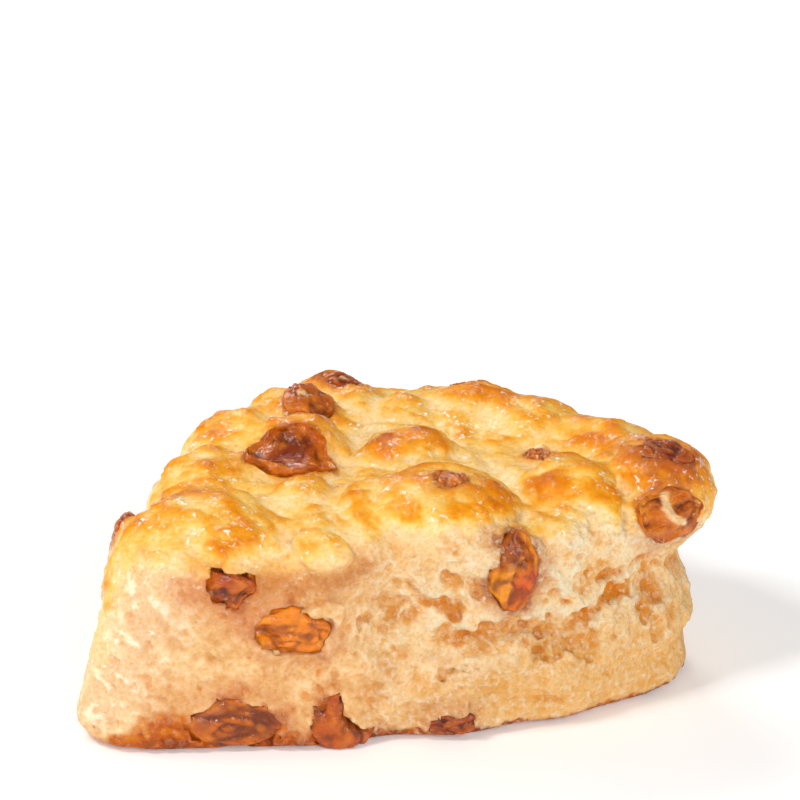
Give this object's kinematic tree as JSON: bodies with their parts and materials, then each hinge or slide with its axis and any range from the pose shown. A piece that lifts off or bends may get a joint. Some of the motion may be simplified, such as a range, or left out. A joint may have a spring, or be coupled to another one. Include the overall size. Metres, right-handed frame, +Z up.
{
  "type": "scone",
  "caption": "Triangular raisin scone with a puffed, glazed golden crust, a smooth pale side and a torn crumbly side, resting on a flat base.",
  "frame": {"origin": "middle of the scone's outline on the surface it rests on", "axes": "+Z up; +X along the longest side of the outline towards the blunt overhanging end; the smooth and the torn side face -Y"},
  "size_m": [0.1076, 0.0894, 0.0429],
  "materials": {
    "dough": "baked dough, pale crumb with a golden glazed crust",
    "raisin_dark": "wrinkled glossy brown raisin skin",
    "raisin_amber": "glossy amber raisin"
  },
  "bodies": {
    "root": {"dough": "dough", "raisin_crown_large": "raisin_dark", "raisin_crown_back": "raisin_dark", "raisin_rear_knob": "raisin_dark", "raisin_left_edge": "raisin_dark", "raisin_left_face_dark": "raisin_dark", "raisin_left_face_gold": "raisin_amber", "raisin_left_base": "raisin_dark", "raisin_front_base": "raisin_dark", "raisin_torn_amber": "raisin_amber", "raisin_torn_base": "raisin_dark", "raisin_right_end": "raisin_dark", "raisin_right_crown": "raisin_dark", "raisin_valley": "raisin_dark", "raisin_front_mound": "raisin_dark", "raisin_rear_right": "raisin_dark", "raisin_back_upper": "raisin_dark", "raisin_back_lower": "raisin_dark", "raisin_left_back": "raisin_dark"}
  },
  "joints": []
}
